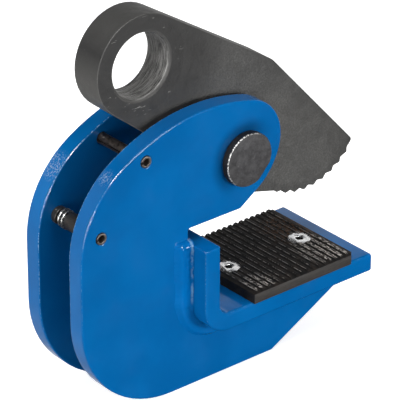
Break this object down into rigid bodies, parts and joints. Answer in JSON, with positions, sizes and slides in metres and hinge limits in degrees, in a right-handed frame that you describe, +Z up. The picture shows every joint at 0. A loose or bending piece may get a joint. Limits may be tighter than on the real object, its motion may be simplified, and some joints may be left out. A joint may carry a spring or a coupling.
{
  "type": "plate lifting clamp",
  "caption": "Plate lifting clamp with a toothed cam arm and lifting eye pivoting between two side plates over a ribbed jaw pad.",
  "frame": {"origin": "on the floor under the middle of the clamp: the middle of the bottom of its box, in the plane midway between the side plates. The pivot pin's axis passes 9.9 mm ahead of it and 117.5 mm above it", "axes": "+X out of the jaw's mouth, +Y along the pivot pin from its head to its tail, +Z up"},
  "size_m": [0.1872, 0.0713, 0.2061],
  "materials": {
    "blue_paint": "glossy brushed-on enamel over steel plate, with pale rubbed edges",
    "burnished_steel": "dark heat-treated steel, faintly mottled, with rubbed edges",
    "blackened_steel": "blackened machined steel",
    "pin_steel": "blackened steel with a bright worn rim",
    "zinc_screw": "zinc plated",
    "zinc_washer": "plain bright steel",
    "roll_pin_steel": "rolled spring steel, slightly browned",
    "spring_steel": "drawn wire"
  },
  "bodies": {
    "frame": {"front_side_plate": "blue_paint", "rear_side_plate": "blue_paint", "jaw_bracket": "blue_paint", "front_weld_bead": "blue_paint", "rear_weld_bead": "blue_paint", "jaw_pad": "blackened_steel", "inner_pad_screw": "zinc_screw", "outer_pad_screw": "zinc_screw", "pivot_pin": "pin_steel", "front_spacer_washer": "zinc_washer", "rear_spacer_washer": "zinc_washer", "pin_washer": "zinc_washer", "retaining_ring": "spring_steel", "stop_pin": "roll_pin_steel", "spring_pin": "roll_pin_steel", "front_spring_collar": "blackened_steel", "rear_spring_collar": "blackened_steel"},
    "cam": {"cam_arm": "burnished_steel", "spring_anchor_pin": "roll_pin_steel"},
    "spring": {"tension_spring": "spring_steel"}
  },
  "joints": [
    {"name": "cam_pivot", "type": "hinge", "parent": "frame", "child": "cam", "pos_m": [0.0099, 0, 0.1175], "axis": [0, 1, 0], "range_deg": [-6, 30], "deforming": ["tension_spring"]},
    {"name": "spring_swing", "type": "hinge", "parent": "frame", "child": "spring", "pos_m": [-0.081, 0.0055, 0.1028], "axis": [0, 1, 0], "range_deg": [-9, 2]}
  ],
  "couplings": [
    {"joint": "spring_swing", "follows": "cam_pivot", "ratio": -0.28}
  ]
}
